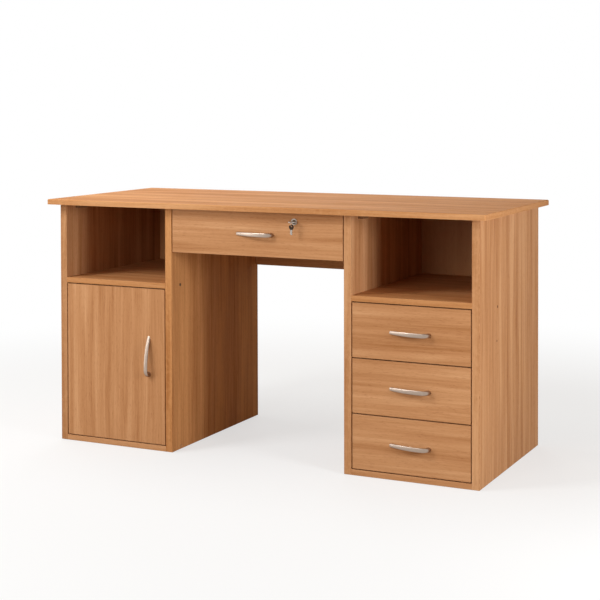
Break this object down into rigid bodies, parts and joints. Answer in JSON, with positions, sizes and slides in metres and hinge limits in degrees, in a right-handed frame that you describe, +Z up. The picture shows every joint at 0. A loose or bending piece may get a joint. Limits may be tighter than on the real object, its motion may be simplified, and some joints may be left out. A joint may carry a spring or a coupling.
{
  "type": "writing desk",
  "caption": "Twin-pedestal writing desk in light oak laminate with open cubbies, a cupboard, side drawers and a lockable centre drawer.",
  "frame": {"origin": "on the floor, under the middle of the top", "axes": "+X along the desk to the user's right, +Y from the front to the back, +Z up"},
  "size_m": [1.4, 0.6, 0.74],
  "materials": {
    "oak_laminate": "satin melamine with a light oak print",
    "hardboard": "plain hardboard",
    "beech": "plain",
    "satin_nickel": "satin",
    "screw_steel": "zinc plated",
    "hinge_steel": "nickel plated",
    "lock_steel": "nickel plated",
    "key_steel": "nickel plated",
    "runner_enamel": "white enamel",
    "roller_nylon": "white nylon",
    "block_plastic": "brown plastic"
  },
  "bodies": {
    "carcass": {"desk_top": "oak_laminate", "left_outer_side": "oak_laminate", "left_inner_side": "oak_laminate", "right_inner_side": "oak_laminate", "right_outer_side": "oak_laminate", "base_panels": "oak_laminate", "shelves": "oak_laminate", "back_panels": "hardboard", "modesty_panel": "oak_laminate", "panel_screws": "screw_steel", "dowels": "beech", "corner_blocks": "block_plastic", "hinge_arms": "hinge_steel", "cabinet_rails": "runner_enamel"},
    "door": {"door_panel": "oak_laminate", "door_handle": "satin_nickel", "door_handle_screws": "screw_steel", "hinge_cups": "hinge_steel"},
    "key": {"lock_plug": "lock_steel", "lock_cam": "lock_steel", "lock_key": "key_steel"},
    "key_ring": {"key_ring": "key_steel"},
    "spare_key": {"spare_key": "key_steel"},
    "upper_drawer": {"upper_drawer_front": "oak_laminate", "upper_drawer_sides": "oak_laminate", "upper_drawer_back": "oak_laminate", "upper_drawer_base": "hardboard", "upper_drawer_handle": "satin_nickel", "upper_drawer_handle_screws": "screw_steel", "upper_drawer_rails": "runner_enamel"},
    "upper_front_rollers": {"upper_front_rollers": "roller_nylon"},
    "upper_rear_rollers": {"upper_rear_rollers": "roller_nylon"},
    "middle_drawer": {"middle_drawer_front": "oak_laminate", "middle_drawer_sides": "oak_laminate", "middle_drawer_back": "oak_laminate", "middle_drawer_base": "hardboard", "middle_drawer_handle": "satin_nickel", "middle_drawer_handle_screws": "screw_steel", "middle_drawer_rails": "runner_enamel"},
    "middle_front_rollers": {"middle_front_rollers": "roller_nylon"},
    "middle_rear_rollers": {"middle_rear_rollers": "roller_nylon"},
    "lower_drawer": {"lower_drawer_front": "oak_laminate", "lower_drawer_sides": "oak_laminate", "lower_drawer_back": "oak_laminate", "lower_drawer_base": "hardboard", "lower_drawer_handle": "satin_nickel", "lower_drawer_handle_screws": "screw_steel", "lower_drawer_rails": "runner_enamel"},
    "lower_front_rollers": {"lower_front_rollers": "roller_nylon"},
    "lower_rear_rollers": {"lower_rear_rollers": "roller_nylon"},
    "centre_drawer": {"centre_drawer_front": "oak_laminate", "centre_drawer_sides": "oak_laminate", "centre_drawer_back": "oak_laminate", "centre_drawer_base": "hardboard", "centre_drawer_handle": "satin_nickel", "centre_drawer_handle_screws": "screw_steel", "centre_drawer_rails": "runner_enamel", "lock_barrel": "lock_steel"},
    "centre_front_rollers": {"centre_front_rollers": "roller_nylon"},
    "centre_rear_rollers": {"centre_rear_rollers": "roller_nylon"}
  },
  "joints": [
    {"name": "upper_drawer_slide", "type": "slide", "parent": "carcass", "child": "upper_drawer", "axis": [0, -1, 0], "range_m": [0, 0.33]},
    {"name": "upper_front_roller_turn", "type": "hinge", "parent": "carcass", "child": "upper_front_rollers", "pos_m": [0.4755, -0.238, 0.3501], "axis": [1, 0, 0], "continuous": true},
    {"name": "upper_rear_roller_turn", "type": "hinge", "parent": "upper_drawer", "child": "upper_rear_rollers", "pos_m": [0.4755, 0.186, 0.348], "axis": [1, 0, 0], "continuous": true},
    {"name": "middle_drawer_slide", "type": "slide", "parent": "carcass", "child": "middle_drawer", "axis": [0, -1, 0], "range_m": [0, 0.33]},
    {"name": "middle_front_roller_turn", "type": "hinge", "parent": "carcass", "child": "middle_front_rollers", "pos_m": [0.4755, -0.238, 0.1951], "axis": [1, 0, 0], "continuous": true},
    {"name": "middle_rear_roller_turn", "type": "hinge", "parent": "middle_drawer", "child": "middle_rear_rollers", "pos_m": [0.4755, 0.186, 0.193], "axis": [1, 0, 0], "continuous": true},
    {"name": "lower_drawer_slide", "type": "slide", "parent": "carcass", "child": "lower_drawer", "axis": [0, -1, 0], "range_m": [0, 0.33]},
    {"name": "lower_front_roller_turn", "type": "hinge", "parent": "carcass", "child": "lower_front_rollers", "pos_m": [0.4755, -0.238, 0.0401], "axis": [1, 0, 0], "continuous": true},
    {"name": "lower_rear_roller_turn", "type": "hinge", "parent": "lower_drawer", "child": "lower_rear_rollers", "pos_m": [0.4755, 0.186, 0.038], "axis": [1, 0, 0], "continuous": true},
    {"name": "centre_drawer_slide", "type": "slide", "parent": "carcass", "child": "centre_drawer", "axis": [0, -1, 0], "range_m": [0, 0.33]},
    {"name": "centre_front_roller_turn", "type": "hinge", "parent": "carcass", "child": "centre_front_rollers", "pos_m": [0, -0.238, 0.6151], "axis": [1, 0, 0], "continuous": true},
    {"name": "centre_rear_roller_turn", "type": "hinge", "parent": "centre_drawer", "child": "centre_rear_rollers", "pos_m": [0, 0.186, 0.613], "axis": [1, 0, 0], "continuous": true},
    {"name": "door_hinge", "type": "hinge", "parent": "carcass", "child": "door", "pos_m": [-0.636, -0.26, 0.25], "axis": [0, 0, -1], "range_deg": [0, 95]},
    {"name": "key_turn", "type": "hinge", "parent": "centre_drawer", "child": "key", "pos_m": [0.1255, -0.268, 0.698], "axis": [0, -1, 0], "range_deg": [0, 90]},
    {"name": "key_ring_swing", "type": "hinge", "parent": "key", "child": "key_ring", "pos_m": [0.1255, -0.287, 0.7002], "axis": [0, 1, 0], "range_deg": [-30, 30]},
    {"name": "spare_key_swing", "type": "hinge", "parent": "key_ring", "child": "spare_key", "pos_m": [0.1255, -0.287, 0.6882], "axis": [0, 1, 0], "range_deg": [-30, 30]}
  ],
  "couplings": [
    {"joint": "upper_front_roller_turn", "follows": "upper_drawer_slide", "rad_per_m": 133.33},
    {"joint": "upper_rear_roller_turn", "follows": "upper_drawer_slide", "rad_per_m": 133.33},
    {"joint": "middle_front_roller_turn", "follows": "middle_drawer_slide", "rad_per_m": 133.33},
    {"joint": "middle_rear_roller_turn", "follows": "middle_drawer_slide", "rad_per_m": 133.33},
    {"joint": "lower_front_roller_turn", "follows": "lower_drawer_slide", "rad_per_m": 133.33},
    {"joint": "lower_rear_roller_turn", "follows": "lower_drawer_slide", "rad_per_m": 133.33},
    {"joint": "centre_front_roller_turn", "follows": "centre_drawer_slide", "rad_per_m": 133.33},
    {"joint": "centre_rear_roller_turn", "follows": "centre_drawer_slide", "rad_per_m": 133.33}
  ]
}
